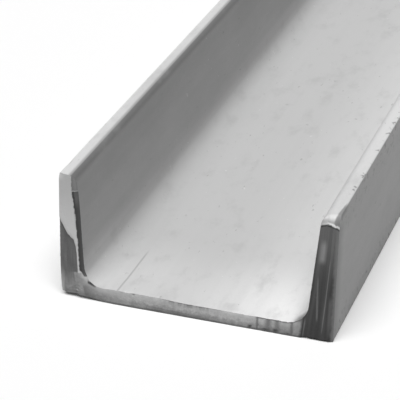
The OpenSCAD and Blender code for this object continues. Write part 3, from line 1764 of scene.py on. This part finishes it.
    def right(
        self, brush: Brush, section: ChannelSection, toe: RoundedToe, groups: EffectGroups
    ) -> Socket:
        """Colour of the right flange's end: scorched and streaked, under a pale rounded toe.

        Args:
            brush: The material's wiring.
            section: The bar's section.
            toe: The rounded toe.
            groups: The shared effects.

        Returns:
            The colour.
        """
        self.measure_right(brush, section, toe, groups)
        upper = brush.soft(fade(18.0, 42.0, z=1.0))
        base = brush.blend(upper, self.deep, self.scorched)
        lighter = brush.blend(upper, self.deep * 2.1, self.scorched * 1.4)
        colour = brush.mix(fade(0.35, 0.7, streak=1.0), base, lighter)
        colour = brush.paint(colour, tuple(streak.mark() for streak in FAN_STREAKS))
        colour = brush.paint(colour, (
            Mark("dark_foot", self.deep * 0.8, 0.55, (fade(9.0, 2.0, z=1.0),)),
            Mark("inner_shade", self.deep * 1.3, 0.5, (fade(1.0, 0.3, inner=1.0), fade(12.0, 16.0, z=1.0))),
            Mark("rubbed_side", self.bevel, 0.85, (fade(1.4, 0.2, outside=1.0, ragged=1.2),)),
            Mark("toe_seam", self.deep, 1.0, (stripe(-0.45, 0.9, over=1.0),)),
        ))
        # Painted shade on the rounded-over toe, darkest near its edge and paler further over.
        top = brush.mix(fade(1.2, 3.2, over=1.0), self.pale * 0.8, self.pale * 1.22)
        colour = brush.mix(fade(0.0, 0.25, over=1.0), colour, top)
        return brush.paint(colour, (
            # Painted shade on the right toe's outer corner, above its edge.
            Mark("toe_corner_painted_shade", self.skin * 0.62, 0.9, (
                fade(84.1, 84.7, x=1.0, z=-0.3, ragged=1.0), fade(0.5, 0.9, over=1.0),
            )),
            # Painted highlight along the right toe's arched edge.
            Mark("toe_rim_highlight", self.highlight_tone, 1.0, (stripe(0.45, 1.4, over=1.0), fade(92.5, 98.0, x=1.0))),
        ))

    def measure_right(
        self, brush: Brush, section: ChannelSection, toe: RoundedToe, groups: EffectGroups
    ) -> None:
        """Adds where a spot lies in the right flange's thickness, and how far over its toe's edge.

        Args:
            brush: The material's wiring.
            section: The bar's section.
            toe: The rounded toe.
            groups: The shared effects.
        """
        x, z, ragged = brush.read(Measure.X, Measure.Z, Measure.RAGGED)
        outside = brush.less(section.depth, x)
        foot = section.flange_thickness + section.slope * section.gauge
        fan = brush.math("DIVIDE", outside, brush.total(foot, brush.product(z, -section.slope)))
        lines = brush.group(
            groups.streaks, Across=brush.product(fan, self.fan_lines), Lengthways=z,
            Width=self.fan_width, Reach=self.fan_reach,
        )
        aside = brush.less(x, toe.middle)
        crown = brush.total(toe.crown, brush.product(aside, aside, -toe.arch))
        brush.measures |= {
            Measure.OUTSIDE: outside,
            Measure.FAN: fan,
            Measure.STREAK: lines["Broad"],
            Measure.OVER: brush.total(brush.less(z, crown), brush.product(ragged, self.seam_ragged)),
        }


@dataclass(frozen=True)
class SawnFinish(SteelFinish):
    """Far end: plain saw-cut steel with even slanting marks."""

    dark: float = 0.30
    light: float = 0.44
    rubbed: float = 0.6
    speckle: float = 0.72
    mark_width: float = 0.6
    mark_reach: float = 60.0
    wear_reach: float = 0.7
    mark_share: float = 0.6
    tone_span: Span = (0.35, 0.65)

    def material(self, groups: EffectGroups, cut: FarCut) -> Material:
        """Builds the finish.

        Args:
            groups: The shared effects.
            cut: The relief whose slant the marks follow.

        Returns:
            The material.
        """
        material, brush, shader = self.open()
        place = brush.place()
        x, _, z = brush.parts(place)
        grain = brush.group(groups.grain, Vector=place, Speckle=self.speckle)
        slant = brush.total(z, brush.product(x, cut.saw_slant))
        marks = brush.group(
            groups.streaks, Across=slant, Lengthways=x, Width=self.mark_width, Reach=self.mark_reach
        )
        sawn = brush.product(marks["Fine"], self.mark_share)
        tone = brush.total(sawn, brush.product(grain["Cloud"], 1.0 - self.mark_share))
        colour = brush.blend(brush.step(tone, *self.tone_span), self.dark, self.light)
        gap = brush.reading(Reading.EDGE_GAP)
        edge = brush.group(groups.wear, Vector=place, Gap=gap, Reach=self.wear_reach)
        colour = brush.blend(edge["Wear"], colour, self.rubbed)
        self.close(brush, shader, colour, tone, brush.total(grain["Height"], marks["Fine"]))
        return material


@dataclass(frozen=True)
class Studio:
    """Floor, lamps and camera, in metres and degrees."""

    floor_size: float = 24.0
    floor_shown: float = 0.98
    floor_bounce: float = 0.42
    floor_roughness: float = 0.9
    floor_specular: float = 0.1
    lamp_from: Triple = (0.05, -1.0, 2.4)
    lamp_width: float = 46.0
    lamp_strength: float = 3.1
    sky: float = 0.10
    sky_shown: float = 1.0
    camera_place: Triple = (0.18141, -1.06888, 0.3389)
    heading: float = 17.558
    dip: float = 26.107
    roll: float = 1.293
    lens: float = 176.68
    far_clip: float = 100.0

    def floor(self) -> Object:
        """A wide pale floor that keeps the bar's shadow.

        Returns:
            The floor.
        """
        half = self.floor_size / 2.0
        mesh = bpy.data.meshes.new("floor")
        corners = [(-half, -half, 0.0), (half, -half, 0.0), (half, half, 0.0), (-half, half, 0.0)]
        mesh.from_pydata(corners, [], [(0, 1, 2, 3)])
        floor = bpy.data.objects.new("floor", mesh)
        bpy.context.scene.collection.objects.link(floor)
        material = bpy.data.materials.new("pale_floor")
        material.use_nodes = True
        wiring = Wiring(material.node_tree)
        shader = material.node_tree.nodes["Principled BSDF"]
        shader.inputs["Roughness"].default_value = self.floor_roughness
        shader.inputs["Specular IOR Level"].default_value = self.floor_specular
        colour = wiring.blend(self.seen(wiring), self.floor_bounce, self.floor_shown)
        wiring.feed(shader.inputs["Base Color"], colour)
        mesh.materials.append(material)
        return floor

    @staticmethod
    def seen(wiring: Wiring) -> Socket:
        """What is looked at, straight or in a reflection, and not only lit by bounces.

        Args:
            wiring: Wiring of the floor's or the sky's shader.

        Returns:
            1 for what the camera, a reflection or glass shows, 0 for light that only bounces.
        """
        path = wiring.add("LightPath").outputs
        shown = wiring.total(path["Is Camera Ray"], path["Is Glossy Ray"])
        return wiring.math("ADD", shown, path["Is Transmission Ray"], clamp=True)

    def light(self) -> None:
        """Sets one broad soft light overhead, the same all over the floor, and a dim even sky."""
        lamp = bpy.data.lights.new("overhead", "SUN")
        lamp.angle = math.radians(self.lamp_width)
        lamp.energy = self.lamp_strength
        holder = bpy.data.objects.new("overhead", lamp)
        holder.location = self.lamp_from
        holder.rotation_euler = Vector(self.lamp_from).to_track_quat("Z", "Y").to_euler()
        bpy.context.scene.collection.objects.link(holder)
        world = bpy.data.worlds.new("studio")
        world.use_nodes = True
        bpy.context.scene.world = world
        wiring = Wiring(world.node_tree)
        background = world.node_tree.nodes["Background"]
        sky = wiring.blend(self.seen(wiring), self.sky, self.sky_shown)
        wiring.feed(background.inputs["Color"], sky)

    def camera(self) -> Object:
        """The camera, at the photograph's viewing angle.

        Returns:
            The camera.
        """
        data = bpy.data.cameras.new("camera")
        data.lens = self.lens
        data.clip_end = self.far_clip
        camera = bpy.data.objects.new("camera", data)
        turn = Matrix.Rotation(math.radians(self.heading), 4, "Z")
        tilt = Matrix.Rotation(math.radians(90.0 - self.dip), 4, "X")
        lean = Matrix.Rotation(math.radians(self.roll), 4, "Z")
        camera.matrix_world = Matrix.Translation(self.camera_place) @ turn @ tilt @ lean
        bpy.context.scene.collection.objects.link(camera)
        bpy.context.scene.camera = camera
        return camera

    def build(self) -> None:
        """Sets up the whole studio and the plain view transform."""
        bpy.context.scene.view_settings.view_transform = "Standard"
        for made in (self.floor(), self.camera()):
            LOG.info("studio: %s", made.name)
        self.light()


def main() -> None:
    """Builds the bar and its studio."""
    logging.basicConfig(level=logging.INFO, format="%(name)s %(message)s")
    low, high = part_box(NODE)
    size = (high - low) / MM
    section = ChannelSection(depth=size.x, flange_width=size.z)
    bar = ChannelBar(section, length=size.y)
    groups = EffectGroups()
    skin = SkinFinish(name="rolled_skin", metallic=0.2, roughness=0.62, grain_depth=0.05)
    cut = CutFinish(name="cut_face", metallic=0.2, roughness=0.6, grain_depth=0.12)
    sawn = SawnFinish(name="sawn_face", metallic=0.4, roughness=0.5, grain_depth=0.05)
    finishes = {
        Finish.SKIN: skin.material(groups, bar.length),
        Finish.CUT: cut.material(groups, section, bar.near),
        Finish.SAWN: sawn.material(groups, bar.far),
    }
    bar.dress(bar.build(), finishes)
    Studio().build()


if __name__ == "__main__":
    main()
